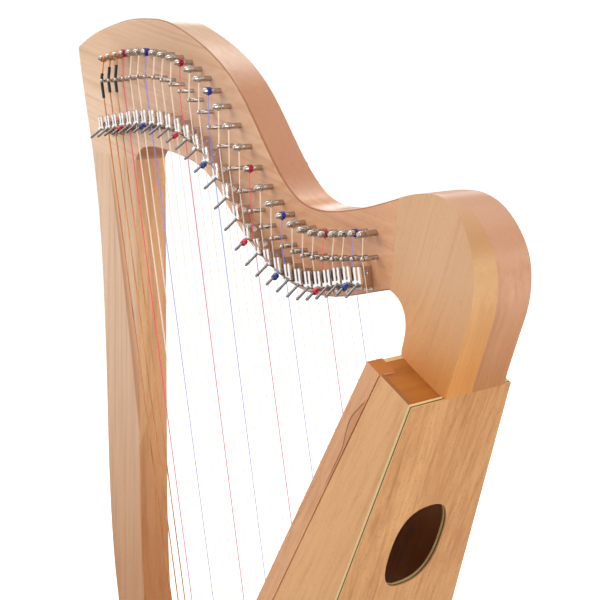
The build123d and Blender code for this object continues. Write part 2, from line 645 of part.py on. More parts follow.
def make_lever(frame, capped):
    pivot = frame.pivot_out
    low, high = pivot + FORK_UP0, pivot + FORK_UP1
    root, tip = PIVOT_ALONG + FORK_ROOT, PIVOT_ALONG + FORK_TIP
    gap, half = FORK_GAP / 2, FORK_W / 2
    # two round-ended prongs on a root plate
    fork = (frame.block(-half, -gap, root - 1, tip - 0.9, low, high)
            + frame.block(gap, half, root - 1, tip - 0.9, low, high))
    for sign in (-1, 1):
        fork += frame.post(sign * (half + gap) / 2, tip - 1.0, low, (half - gap) / 2, high - low)
    fork += frame.block(HUB_0, half, root - ROOT_L, root, low, high)
    # arm beside the string, and the hub on the pivot
    fork += frame.block(HUB_0, HUB_1, root - ROOT_L, root + 0.6, pivot, high)
    fork += frame.pivot_rod(HUB_0, HUB_1, HUB_R)
    start = frame.point(0, PIVOT_ALONG + HANDLE_START[0], pivot + HANDLE_START[1])
    end = frame.point(0, *HANDLE_END)
    fork += tube(start, end, HANDLE_R)
    fork += ball(end, HANDLE_R)
    solids = [one(fork - frame.pivot_rod(HUB_0 - 1, HUB_1 + 1, PIVOT_BORE_R))]
    if capped:
        axis = (end - start).normalized()
        cap_start = start + axis * CAP_START
        solids.append(one(cylinder(CAP_R, CAP_L, cap_start, axis)
                          - cylinder(HANDLE_R + FIT, CAP_L + 2, cap_start - axis, axis)))
    return solids


def make_bracket(frame):
    """Base plate on the neck and an ear with an eye for the pivot."""
    shelf = frame.pivot_out + 0.6
    plate = frame.block(PLATE_ACROSS, EAR_1, *PLATE_ALONG, 0, PLATE_T)
    outline = [(-12.0, 0.2), (-12.0, 7.0), (PIVOT_ALONG - 3.1, shelf),
               (PIVOT_ALONG + 3.1, shelf), (4.3, 9.6), (4.3, 0.2)]   # along, out
    face = Face(Wire.make_polygon([frame.point(EAR_0, b, c) for b, c in outline], close=True))
    ear = (extrude(face, amount=EAR_1 - EAR_0, dir=frame.across)
           + frame.pivot_rod(EAR_0, EAR_1, EAR_R))
    bracket = (plate + ear - frame.rod(EAR_0 - 1, EAR_1 + 1, **EAR_WINDOW)
               - frame.pivot_rod(EAR_0 - 1, EAR_1 + 1, PIVOT_R + 0.005))
    for a, b in SCREW_PLACES:
        bracket -= frame.post(a, b, -1, 1.3, 6)
    return one(bracket)


def make_lever_screw(frame, a, b):
    screw = (frame.post(a, b, -SCREW_DEPTH, SCREW_R, SCREW_DEPTH + PLATE_T)
             + frame.post(a, b, PLATE_T, SCREW_HEAD_R, SCREW_HEAD_T))
    slot = frame.block(a - 1.9, a + 1.9, b - 0.3, b + 0.3, PLATE_T + 0.5, PLATE_T + 2)
    return one(screw - slot)


def make_pivot(frame):
    """Pivot pin with a disc at each end."""
    return one(frame.pivot_rod(EAR_0 - 0.7, HUB_1 + 0.7, PIVOT_R)
               + frame.pivot_rod(EAR_0 - 0.75, EAR_0 - 0.02, 2.0)
               + frame.pivot_rod(HUB_1 + 0.05, HUB_1 + 0.7, 1.9))


# ---- build -----------------------------------------------------------------
runs = [string_run(i) for i in range(len(PEG_X))]
frames = [LeverFrame(run) for run in runs]
lever_screw_places = [(frame, a, b) for frame in frames for a, b in SCREW_PLACES]
pillar_dowel_holes = [hole for _, hole in PILLAR_DOWELS]
shoulder_dowel_holes = [hole for _, hole in SHOULDER_DOWELS]

neck = drilled(make_neck(), pillar_dowel_holes + shoulder_dowel_holes)
neck_holes = [hole for run in runs for hole in pin_holes(run)]
neck_holes += [frame.post(a, b, -SCREW_DEPTH - 0.1, SCREW_R + FIT, 9.6)
               for frame, a, b in lever_screw_places]

shoulder_block = make_shoulder_block()
left_strip, left_side = make_side(-1)
right_strip, right_side = make_side(1)
right_strip = one(right_strip - shoulder_block)

board_holes = [string_hole(run, EYE_R + FIT) for run in runs]
soundboard = crop(bar(RECESS, U_LONG, from_front(0, BOARD_T), full_width(RIM)))
string_rib = make_rib(30.0, Z_BOX + 18.0, RIB_W, -RIB_T, 0.0)
inner_rib = make_rib(22.0, Z_BOX + BOTTOM_T + 4, IN_RIB_W, BOARD_T, BOARD_T + IN_RIB_T)

strings = {"wound": [], "red": [], "blue": [], "clear": []}
for run in runs:
    kind = ("wound" if run.number in WOUND else "red" if run.number in RED
            else "blue" if run.number in BLUE else "clear")
    strings[kind].append(make_string(run))

pieces = {
    "neck": [one(neck - neck_holes)],
    "pillar": [drilled(make_pillar(), pillar_dowel_holes)],
    "shoulder_block": [drilled(shoulder_block, shoulder_dowel_holes)],
    "shoulder_cheek": [make_cheek()],
    "soundboard": [drilled(soundboard, board_holes)],
    "left_side_panel": [left_side],
    "right_side_panel": [right_side],
    "edge_strips": [left_strip, right_strip],
    "back_panel": [make_back()],
    "top_board": [make_top_board(left_strip, right_strip)],
    "bottom_board": [make_bottom_board(left_strip, right_strip)],
    "box_framing": make_framing(),
    "string_rib": [drilled(string_rib, board_holes)],
    "inner_rib": [drilled(inner_rib, board_holes)],
    "string_eyelets": [make_eyelet(run) for run in runs],
    "string_knots": [make_knot(run) for run in runs],
    "plinth": [make_plinth()],
    "rubber_feet": [make_foot(x, y) for x, y in FOOT_PLACES],
    "foot_screws": [make_foot_screw(x, y) for x, y in FOOT_PLACES],
    "pillar_bolt": [make_bolt()],
    "neck_dowels": [dowel for dowel, _ in PILLAR_DOWELS + SHOULDER_DOWELS],
    "tuning_pins": [make_tuning_pin(run) for run in runs],
    "bridge_pins": [make_bridge_pin(run) for run in runs],
    "string_sleeves": [make_sleeve(run) for run in runs if run.number in WOUND],
    "lever_brackets": [make_bracket(frame) for frame in frames],
    "lever_screws": [make_lever_screw(*place) for place in lever_screw_places],
    "lever_pivots": [make_pivot(frame) for frame in frames],
}
for kind, solids in strings.items():
    pieces["strings_" + kind] = solids
for run, frame in zip(runs, frames):
    pieces["lever_%02d" % run.number] = make_lever(frame, run.number in RED + BLUE)

for name, shapes in pieces.items():
    save(name, shapes)
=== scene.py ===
import json
import math
import bpy
import bmesh
import numpy as np
from mathutils import Vector, Matrix


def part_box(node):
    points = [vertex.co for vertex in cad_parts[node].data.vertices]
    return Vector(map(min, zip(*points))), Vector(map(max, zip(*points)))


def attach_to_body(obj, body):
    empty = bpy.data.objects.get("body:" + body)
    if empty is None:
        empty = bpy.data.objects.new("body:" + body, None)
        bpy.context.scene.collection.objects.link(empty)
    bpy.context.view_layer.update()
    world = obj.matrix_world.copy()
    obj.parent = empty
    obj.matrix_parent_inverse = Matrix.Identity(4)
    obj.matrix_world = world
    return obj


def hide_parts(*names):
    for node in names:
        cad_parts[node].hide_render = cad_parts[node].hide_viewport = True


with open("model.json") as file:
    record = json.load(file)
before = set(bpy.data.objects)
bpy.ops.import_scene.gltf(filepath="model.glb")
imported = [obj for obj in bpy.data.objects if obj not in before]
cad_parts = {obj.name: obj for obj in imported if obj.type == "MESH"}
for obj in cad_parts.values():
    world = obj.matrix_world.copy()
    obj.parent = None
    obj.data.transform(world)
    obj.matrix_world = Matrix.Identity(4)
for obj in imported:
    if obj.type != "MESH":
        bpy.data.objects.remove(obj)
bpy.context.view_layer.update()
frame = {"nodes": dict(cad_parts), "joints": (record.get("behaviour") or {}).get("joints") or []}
NODES = frame["nodes"]
JOINT = {joint["name"]: joint for joint in frame["joints"]}
MM = 0.001                           # one millimetre in metres
Y_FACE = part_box("neck")[0][1]        # the neck's -Y face
Y_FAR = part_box("neck")[1][1]         # the neck's +Y face

# Strings are numbered from 1, the longest; each one has a lever.
WOUND = (1, 2, 3)                    # copper-wound, sleeved where they pass the bridge pin
RED = (4, 11, 18, 25)
BLUE = (7, 14, 21, 28)

# All in mm; "out" is measured from the neck's -Y face toward -Y.
STRING_R = [0.75, 0.70, 0.66] + [round(0.64 - 0.30 * k / 25.0, 3) for k in range(26)]
SLEEVE_R = 1.52
PEG_R = 2.5                          # tuning pin radius
KEY_SQUARE = 3.36                    # nominal width of the square for the tuning key
BRIDGE_R = 1.9                       # bridge pin radius
BRIDGE_NECK_R = 1.46                 # radius at the bottom of the bridge pin's groove
GROOVE_R = 1.45                      # distance from pin centre to the surface strings rest on
STRING_OUT = 13.3                    # where the strings cross the bridge pins
COIL_OUT = 10.0                      # where the coils start on the tuning pins
HANDLE_OUT = 32.4                    # end of the lever handles


# ---------------------------------------------------------------------------
# reading the frame
# ---------------------------------------------------------------------------
def mesh_points(node):
    mesh = NODES[node].data
    points = np.zeros(len(mesh.vertices) * 3, np.float32)
    mesh.vertices.foreach_get("co", points)
    return points.reshape(-1, 3)


def islands(node):
    """The points of each separate solid in a node; coincident vertices count as joined."""
    points = mesh_points(node)
    first_at = {}
    same = [first_at.setdefault(tuple(spot), i)
            for i, spot in enumerate(np.round(points * 1e6).astype(np.int64))]
    parent = list(range(len(points)))

    def find(i):
        while parent[i] != i:
            parent[i] = parent[parent[i]]
            i = parent[i]
        return i

    for edge in NODES[node].data.edges:
        a, b = (find(same[vertex]) for vertex in edge.vertices)
        if a != b:
            parent[a] = b
    groups = {}
    for i in range(len(points)):
        groups.setdefault(find(same[i]), []).append(i)
    return [points[group].astype(float) for group in groups.values()]


def pin_places(node):
    """(centre, lowest y, highest y) of each pin, in order of x."""
    places = []
    for points in islands(node):
        low, high = points.min(0), points.max(0)
        places.append(((low + high) / 2, low[1], high[1]))
    return sorted(places, key=lambda place: place[0][0])


PEGS = pin_places("tuning_pins")
BRIDGES = pin_places("bridge_pins")
EYES = sorted(islands("string_eyelets"), key=lambda points: points[:, 0].mean())
STRINGS = range(1, len(PEGS) + 1)

first_eye, last_eye = EYES[0].mean(0), EYES[-1].mean(0)
DOWN = Vector((first_eye[0] - last_eye[0], 0, first_eye[2] - last_eye[2])).normalized()
INTO_BOX = Vector((-DOWN.z, 0, DOWN.x))      # square to the soundboard
if INTO_BOX.x < 0:
    INTO_BOX = -INTO_BOX


# ---------------------------------------------------------------------------
# shader graph helpers
# ---------------------------------------------------------------------------
def srgb(*channels):
    """A linear colour from sRGB values of 0 to 255."""
    def linear(value):
        value = value / 255.0
        return value / 12.92 if value <= 0.04045 else ((value + 0.055) / 1.055) ** 2.4
    return tuple(linear(value) for value in channels) + (1.0,)


def dim(colour, *factors):
    """A colour multiplied by one factor, or by one for each channel."""
    if len(factors) == 1:
        factors = factors * 3
    return tuple(c * f for c, f in zip(colour, factors)) + (1.0,)


class Graph:
    """Adds nodes to a shader tree; an input takes either a value or a socket to link."""
    def __init__(self, tree):
        self.tree = tree
        tree.nodes.clear()

    def feed(self, socket, value):
        if isinstance(value, bpy.types.NodeSocket):
            self.tree.links.new(value, socket)
        else:
            socket.default_value = value

    def node(self, kind, inputs=None, **settings):
        node = self.tree.nodes.new(kind)
        for key, value in settings.items():
            setattr(node, key, value)
        for key, value in (inputs or {}).items():
            self.feed(node.inputs[key], value)
        return node

    def math(self, operation, *values, clamp=False):
        node = self.node("ShaderNodeMath", dict(enumerate(values)),
                         operation=operation, use_clamp=clamp)
        return node.outputs[0]

    def add(self, a, b):
        return self.math("ADD", a, b)

    def sub(self, a, b):
        return self.math("SUBTRACT", a, b)

    def mul(self, a, b):
        return self.math("MULTIPLY", a, b)

    def mix(self, fac, a, b, blend="MIX"):
        node = self.node("ShaderNodeMix", data_type="RGBA", blend_type=blend)
        for index, value in ((0, fac), (6, a), (7, b)):
            self.feed(node.inputs[index], value)
        return node.outputs[2]

    def ramp(self, value, start, end):
        """0 at start to 1 at end, held beyond; start may be the larger."""
        node = self.node("ShaderNodeMapRange", {0: value, 1: start, 2: end}, clamp=True)
        return node.outputs[0]

    def colour_ramp(self, fac, stops):
        """Stops are (position, colour), with the two ends first and last."""
        node = self.node("ShaderNodeValToRGB", {0: fac})
        elements = node.color_ramp.elements
        for element, (place, colour) in zip(elements, (stops[0], stops[-1])):
            element.position, element.color = place, colour
        for place, colour in stops[1:-1]:
            elements.new(place).color = colour
        return node.outputs[0]

    def coords(self, output="Object"):
        return self.node("ShaderNodeTexCoord").outputs[output]

    def normal(self):
        return self.node("ShaderNodeNewGeometry").outputs["Normal"]

    def xyz(self, vector):
        return self.node("ShaderNodeSeparateXYZ", {0: vector}).outputs

    def vector(self, operation, a, b):
        return self.node("ShaderNodeVectorMath", {0: a, 1: b}, operation=operation).outputs

    def dot(self, a, b):
        return self.vector("DOT_PRODUCT", a, b)["Value"]

    def scaled(self, vector, scale):
        return self.vector("MULTIPLY", vector, scale)[0]

    def facing(self, direction):
        """1 where the surface looks along a direction, -1 where it looks away."""
        return self.dot(self.normal(), Vector(direction).normalized())

    def noise(self, vector, scale, detail=3.0, rough=0.5, distort=0.0):
        """Noise with its own frequency on each axis, or one for all three."""
        if not isinstance(scale, tuple):
            scale = (scale,) * 3
        return self.node("ShaderNodeTexNoise", {
            "Scale": 1.0, "Detail": detail, "Roughness": rough, "Distortion": distort,
            "Vector": self.scaled(vector, scale)}).outputs["Fac"]


class Material(Graph):
    """A material around one principled shader."""
    def __init__(self, name):
        self.data = bpy.data.materials.new(name)
        self.data.use_nodes = True
        super().__init__(self.data.node_tree)
        self.output = self.node("ShaderNodeOutputMaterial")
        self.shader = self.node("ShaderNodeBsdfPrincipled")
        self.feed(self.output.inputs[0], self.shader.outputs[0])

    def set(self, **values):
        for key, value in values.items():
            self.feed(self.shader.inputs[key.replace("_", " ")], value)

    def bump(self, height, distance, strength):
        node = self.node("ShaderNodeBump", {
            "Strength": strength, "Distance": distance, "Height": height})
        self.set(Normal=node.outputs[0])

    def colour(self):
        return self.shader.inputs["Base Color"].links[0].from_socket

    def paint(self, mask, colour):
        """Lays a colour over the present one where the mask is 1."""
        self.set(Base_Color=self.mix(mask, self.colour(), colour))

    def tint(self, mask, factor):
        """Multiplies the present colour where the mask is 1."""
        self.paint(mask, self.mix(1.0, self.colour(), factor + (1.0,), "MULTIPLY"))


# ---------------------------------------------------------------------------
# wood
# ---------------------------------------------------------------------------
def grain_space(mat, grain, seed):
    """Object coordinates in metres, turned so that X runs along the grain."""
    along = Vector(grain).normalized()
    up = Vector((0, 1, 0)) if abs(along.y) < 0.9 else Vector((0, 0, 1))
    across = along.cross(up).normalized()
    third = along.cross(across).normalized()
    moved = mat.vector("SUBTRACT", mat.coords(), (seed, seed * 0.37, -seed * 0.7))[0]
    parts = [mat.dot(moved, axis) for axis in (along, across, third)]
    return mat.node("ShaderNodeCombineXYZ", dict(enumerate(parts))).outputs[0]


def wood(name, light, dark, grain, seed, figure, flecks, rough=0.40, coat=0.25):
    """Growth lines, short dark flecks, slow tone changes and a satin lacquer."""
    light, dark = srgb(*light), srgb(*dark)
    mat = Material(name)
    space = grain_space(mat, grain, seed)
    tone = mat.noise(space, (3, 22, 22), detail=3, rough=0.55, distort=0.4)
    lines = mat.noise(space, (5, 260, 260), detail=3, rough=0.6, distort=0.15)
    fine = mat.noise(space, (40, 1400, 1400), detail=2)
    shade = mat.mul(mat.ramp(tone, start=0.25, end=0.75), 0.45)
    shade = mat.add(shade, mat.mul(mat.ramp(lines, start=0.30, end=0.72), 0.38))
    shade = mat.add(shade, mat.mul(mat.ramp(fine, start=0.25, end=0.75), 0.17))

    # on cut ends the figure fades to a quarter
    side = mat.sub(1.0, mat.ramp(mat.math("ABSOLUTE", mat.facing(grain)), start=0.25, end=0.70))
    contrast = mat.mul(mat.add(0.25, mat.mul(side, 0.75)), figure)
    shade = mat.math("ADD", mat.mul(mat.sub(shade, 0.5), contrast), 0.5, clamp=True)
    colour = mat.mix(shade, light, dark)

    veins = mat.noise(space, (4.5, 150, 150), detail=4, rough=0.60, distort=0.35)
    veins = mat.mul(mat.ramp(veins, start=0.52, end=0.72), side)
    colour = mat.mix(mat.mul(veins, 0.5 * figure), colour, dim(dark, 0.74, 0.62, 0.52))

    # flecks: short dashes along the grain, gathered in patches
    cells = mat.node("ShaderNodeTexVoronoi", {
        "Scale": 1.0, "Randomness": 1.0,
        "Vector": mat.scaled(space, (210, 900, 900))}, feature="F1")
    patches = mat.ramp(mat.noise(space, (160, 500, 500), detail=1), start=0.45, end=0.62)
    fleck = mat.sub(1.0, mat.ramp(cells.outputs["Distance"], start=0.10, end=0.30))
    fleck = mat.mul(fleck, patches)
    colour = mat.mix(mat.mul(fleck, flecks), colour, dim(dark, 0.62))

    # rougher on growth lines and in broad worn patches; lines rise, flecks sink
    roughness = mat.add(rough - 0.05, mat.mul(lines, 0.10))
    roughness = mat.add(roughness, mat.mul(mat.noise(space, 9, detail=4, rough=0.6), 0.08))
    mat.bump(mat.add(mat.mul(lines, 0.6), mat.mul(fleck, -0.8)), distance=0.00012, strength=0.5)
    mat.set(Base_Color=colour, Roughness=roughness, Coat_Weight=coat, Coat_Roughness=0.22,
            Specular_IOR_Level=0.35)
    return mat


def tint_range(mat, measure, start, end, factor):
    """Tints along an object axis ("X" or "Z", in metres) or by how far a face looks
    along a direction (-1 to 1): nothing at start, the full factor at end."""
    if isinstance(measure, str):
        value = mat.xyz(mat.coords())[measure]
    else:
        value = mat.facing(measure)
    mat.tint(mat.ramp(value, start, end), factor)


def end_grain(mat, colour, start, end):
    """Paints a given colour on the cut ends, the faces that look along the soundboard's slope.
    """
    mat.paint(mat.ramp(mat.math("ABSOLUTE", mat.facing(DOWN)), start, end), srgb(*colour))


def rim_tint(mat):
    """Darkens the rounded -Y edge where a broad face turns upward, and thins its lacquer."""
    normal = mat.xyz(mat.normal())
    outward = mat.mul(normal[1], -1.0)
    rim = mat.mul(mat.ramp(outward, start=0.12, end=0.40),
                  mat.sub(1.0, mat.ramp(outward, start=0.90, end=0.985)))
    rim = mat.mul(rim, mat.math("GREATER_THAN", normal[2], 0.05))
    mat.tint(rim, (0.52, 0.38, 0.28))
    coat = mat.shader.inputs["Coat Weight"].default_value
    mat.set(Coat_Weight=mat.mul(mat.sub(1.0, rim), coat))


# How far the painted hollow's lit floor reaches in y, as a share of its greatest reach; the mesh
# has no hollow.
# Columns: place from the hollow's bottom (0) to its top (1), share.
HOLLOW_REACH = ((0.0, 0.0), (0.084, 0.51), (0.169, 0.87), (0.279, 1.0), (0.395, 1.0),
                (0.567, 0.92), (0.707, 0.72), (0.863, 0.24), (1.0, 0.0))


def paint_hollow_shade_and_light(mat):
    """Painted shade by the wall and painted light on the floor of a long hollow in the pillar's
    +X edge, which the mesh lacks.
    """
    x, y, z = mat.xyz(mat.coords())
    normal = mat.xyz(mat.normal())

    # the painted wall's x is a quadratic in z; the painted shade beyond it widens downward
    slope = mat.math("MULTIPLY_ADD", z, -0.1185412, -0.00765643)
    wall = mat.math("MULTIPLY_ADD", z, slope, -0.14512003)
    past = mat.sub(x, wall)
    width = mat.math("MULTIPLY_ADD", mat.sub(0.85, z), 0.060, 0.006)
    fade = mat.sub(1.0, mat.math("DIVIDE", past, width, clamp=True))
    # painted shade beside the hollow's wall, on faces looking -Y
    dark = mat.mul(mat.ramp(past, start=-0.0003, end=0.0010),
                   mat.math("MULTIPLY", fade, 1.5, clamp=True))
    span = mat.mul(mat.ramp(z, start=0.865, end=0.830), mat.ramp(z, start=0.555, end=0.600))
    faces_out = mat.math("GREATER_THAN", mat.mul(normal[1], -1.0), 0.5)
    mat.tint(mat.mul(mat.mul(dark, span), faces_out), (0.74, 0.53, 0.36))

    # painted light on the hollow's floor, on faces looking +X
    reach = mat.colour_ramp(mat.ramp(z, start=0.5587, end=0.8589),
                            [(place, (v, v, v, 1)) for place, v in HOLLOW_REACH])
    greatest_reach, reach_from = 0.0195, 0.0085      # in y
    floor = mat.sub(mat.mul(reach, greatest_reach), mat.sub(y, reach_from))
    hollow_painted_light = mat.mul(mat.ramp(floor, start=-0.0004, end=0.0010),
                   mat.math("GREATER_THAN", normal[0], 0.5))
    mat.tint(hollow_painted_light, (1.10, 1.24, 1.36))


def streak(mat):
    """A dark streak on the -Y edge strip that bows toward -X and back."""
    box_top = (0.234554, 0, 0.7696)
    place = mat.coords()
    moved = mat.vector("SUBTRACT", place, box_top)[0]
    # mm down the strip from the top of the box, and mm across it
    down, across = (mat.dot(moved, Vector(axis) * 1000.0)
                    for axis in ((-0.4203, 0, -0.9074), (0.9074, 0, -0.4203)))
    bow_centre, bow_length, bow_depth, streak_across = 46.0, 17.0, 5.6, 14.5
    wave_depth = 1.4
    off = mat.math("DIVIDE", mat.sub(down, bow_centre), bow_length)
    square = mat.math("POWER", mat.math("ABSOLUTE", off), 2.0)
    bow = mat.mul(mat.math("EXPONENT", mat.mul(square, -1.0)), bow_depth)
    wave = mat.mul(mat.sub(mat.noise(place, 90), 0.5), wave_depth)
    distance = mat.sub(across, mat.add(mat.sub(streak_across, bow), wave))
    line = mat.sub(1.0, mat.ramp(mat.math("ABSOLUTE", distance), start=0.15, end=0.75))
    beyond = mat.mul(mat.ramp(distance, start=0.0, end=1.0), 0.45)
    here = mat.mul(mat.math("LESS_THAN", mat.xyz(place)[1], 0.0),
                   mat.mul(mat.ramp(down, start=22.0, end=28.0),
                           mat.sub(1.0, mat.ramp(down, start=84.0, end=110.0))))
    mat.paint(mat.mul(beyond, here), srgb(190, 112, 66))
    mat.paint(mat.mul(mat.mul(line, here), 0.85), srgb(96, 56, 38))


def ply_edges(mat):
    """Light and dark plywood layers on the back panel's edges and in its holes."""
    # the outer face is the plane through the panel's outermost corners
    points = mesh_points("back_panel")
    top = points[points[:, 2] > points[:, 2].max() - 0.006]
    bottom = points[points[:, 2] < points[:, 2].min() + 0.0005]
    high, low = top[top[:, 0].argmax()], bottom[bottom[:, 0].argmax()]
    slope = Vector((low[0] - high[0], 0, low[2] - high[2])).normalized()
    square_to_face = Vector((-slope.z, 0, slope.x))

    place = mat.coords()
    moved = mat.vector("SUBTRACT", place, (float(high[0]), 0, float(high[2])))[0]
    offset = mat.dot(moved, square_to_face)
    depth = mat.mul(mat.math("ABSOLUTE", offset), 1000.0)      # mm from the face
    looks = mat.math("ABSOLUTE", mat.dot(mat.normal(), square_to_face))
    edge = mat.math("LESS_THAN", looks, 0.75)
    veneer, dark_from, dark_to = 0.55, 1.0, 2.1
    band = mat.mul(mat.math("GREATER_THAN", depth, dark_from),
                   mat.math("LESS_THAN", depth, dark_to))
    edge = mat.mul(edge, mat.math("GREATER_THAN", depth, veneer))
    mottle = mat.noise(place, 900)
    light_layer = mat.mix(mottle, srgb(238, 212, 156), srgb(216, 180, 118))
    dark_layer = mat.mix(mottle, srgb(126, 84, 30), srgb(84, 52, 16))
    mat.paint(edge, mat.mix(band, light_layer, dark_layer))


ACROSS = (0, 1, 0)
# Columns: light sRGB, dark sRGB, grain direction, seed, figure strength, fleck strength.
WOODS = {
    "beech_neck": ((246, 212, 180), (222, 174, 134), (1, 0, -0.16), 0.11, 0.9, 0.55),
    "beech_pillar": ((237, 205, 177), (209, 165, 127), (0.05, 0, 1), 0.43, 1.0, 0.5),
    "beech_block": ((216, 166, 131), (183, 127, 92), (0.25, 0, 1), 0.77, 0.7, 0.5),
    "beech_cheek": ((229, 186, 144), (202, 150, 105), (0.3, 0, 1), 0.91, 0.5, 0.5),
    "beech_side": ((234, 183, 130), (208, 150, 96), DOWN, 1.31, 0.7, 0.6),
    "beech_strip": ((234, 184, 140), (206, 146, 100), DOWN, 1.77, 1.0, 0.5),
    "beech_rib": ((206, 156, 112), (176, 122, 80), DOWN, 2.03, 0.6, 0.4),
    "beech_plinth": ((230, 186, 144), (198, 148, 104), ACROSS, 2.41, 1.0, 0.6),
    "soundboard_wood": ((236, 204, 156), (212, 170, 116), DOWN, 2.83, 0.8, 0.2),
    "top_board_wood": ((190, 117, 41), (152, 84, 26), ACROSS, 3.17, 1.0, 0.3),
    "inner_wood": ((184, 98, 34), (142, 66, 18), ACROSS, 3.41, 0.6, 0.3),
    "beech_ply": ((222, 168, 114), (182, 124, 72), DOWN, 3.71, 1.3, 1.0),
}
WOOD_FINISH = {
    "beech_neck": dict(coat=0.9),
    "inner_wood": dict(rough=0.6, coat=0.0),
}
# Applied in order.  Columns: wood, axis or direction, start, end, colour factor.
TINTS = (
    ("beech_neck", "X", -0.24, -0.10, (0.86, 0.80, 0.76)),
    ("beech_neck", "X", -0.06, 0.10, (1.04, 0.84, 0.68)),
    ("beech_neck", "X", 0.16, 0.22, (1.06, 1.08, 1.12)),
    # painted shade: the neck's slope, facing +X and up, turned from the key light
    ("beech_neck", (0.80, 0, 0.60), 0.86, 0.985, (0.66, 0.48, 0.33)),
    # painted shade: the neck's soffit, facing down under the arch
    ("beech_neck", (0.2, 0, -1), 0.30, 0.80, (0.54, 0.33, 0.17)),
    ("beech_pillar", "Z", 0.76, 0.40, (0.76, 0.58, 0.43)),
    # painted shade: the pillar's inner face, turned from the key light, darker and warmer
    ("beech_pillar", (1, 0, 0), 0.45, 0.95, (1.08, 0.90, 0.66)),
    # painted shade and painted orange reflected light from the top board, low on the block
    ("beech_block", "Z", 0.82, 0.75, (0.76, 0.61, 0.36)),
    # painted orange reflected light from the top board, low on the cheek
    ("beech_cheek", "Z", 0.83, 0.76, (0.98, 0.70, 0.36)),
    # painted shade: the cheek's facet facing +X, away from the key light
    ("beech_cheek", (1, 0, 0.1), 0.45, 0.70, (0.93, 0.91, 0.76)),
    # painted shade: the top of that facet, facing up and +X
    ("beech_cheek", (0.55, 0, 0.83), 0.75, 0.95, (0.86, 0.78, 0.76)),
    # painted shade inside the box: faces looking into it are darker and more orange
    ("soundboard_wood", INTO_BOX, 0.3, 0.8, (0.50, 0.28, 0.12)),
    ("beech_rib", INTO_BOX, 0.3, 0.8, (0.5, 0.3, 0.15)),
)

MATS = {name: wood(name, *row, **WOOD_FINISH.get(name, {})) for name, row in WOODS.items()}
for name, *tint in TINTS:
    tint_range(MATS[name], *tint)
rim_tint(MATS["beech_neck"])
paint_hollow_shade_and_light(MATS["beech_pillar"])
streak(MATS["beech_strip"])
end_grain(MATS["beech_side"], (150, 92, 46), start=0.80, end=0.92)
end_grain(MATS["beech_strip"], (180, 106, 42), start=0.78, end=0.88)
ply_edges(MATS["beech_ply"])


# ---------------------------------------------------------------------------
# metal and plastic
# ---------------------------------------------------------------------------
def metal(name, colour, rough, wear):
    colour = colour + (1,)
    mat = Material(name)
    place = mat.coords()
    stain = mat.noise(place, 260, detail=4, rough=0.6)
    grit = mat.noise(place, 1800, detail=2)
    stained = mat.mul(mat.ramp(stain, start=0.35, end=0.75), 0.25 * wear)
    mat.set(Base_Color=mat.mix(stained, colour, dim(colour, 0.55)),
            Roughness=mat.add(rough, mat.mul(mat.sub(stain, 0.5), 0.20 * wear)),
            Metallic=1.0)
    mat.bump(grit, distance=0.00003, strength=0.25)
    return mat


def plastic(name, colour, rough, clear=0.0, painted_glow=None, coat=0.0):
    """clear is the share of light let straight through; the glow, given as (colour, strength),
    is painted light: an emission that brightens the part though it is no lamp.
    """
    colour = srgb(*colour)
    mat = Material(name)
    # painted light: the part emits light though it is no lamp
    if painted_glow:
        mat.set(Emission_Color=painted_glow[0] + (1,), Emission_Strength=painted_glow[1])
    if clear:
        through = mat.node("ShaderNodeBsdfTransparent")
        both = mat.node("ShaderNodeMixShader", {
            0: clear, 1: mat.shader.outputs[0], 2: through.outputs[0]})
        mat.feed(mat.output.inputs[0], both.outputs[0])
    place = mat.coords()
    mottle = mat.noise(place, 300)
    mat.set(Base_Color=mat.mix(mat.mul(mottle, 0.15), colour, dim(colour, 0.7)),
            Roughness=mat.add(rough, mat.mul(mat.sub(mottle, 0.5), 0.15)),
            Coat_Weight=coat)
    mat.bump(mat.noise(place, 2500, detail=2), distance=0.00002, strength=0.3)
    return mat


def copper(name):
    """Fine winding; the string's V coordinate is its length in metres."""
    winding_pitch = 0.00045
    mat = Material(name)
    length = mat.xyz(mat.node("ShaderNodeUVMap").outputs[0])[1]
    winding = mat.math("SINE", mat.mul(length, 2 * math.pi / winding_pitch))
    tarnish = mat.noise(mat.coords(), (60, 60, 25))
    mat.set(Base_Color=mat.mix(mat.ramp(tarnish, start=0.3, end=0.7),
                               srgb(226, 160, 104), srgb(190, 124, 76)),
            Roughness=mat.add(0.30, mat.mul(tarnish, 0.15)),
            Metallic=1.0)
    mat.bump(winding, distance=0.00006, strength=0.6)
    return mat


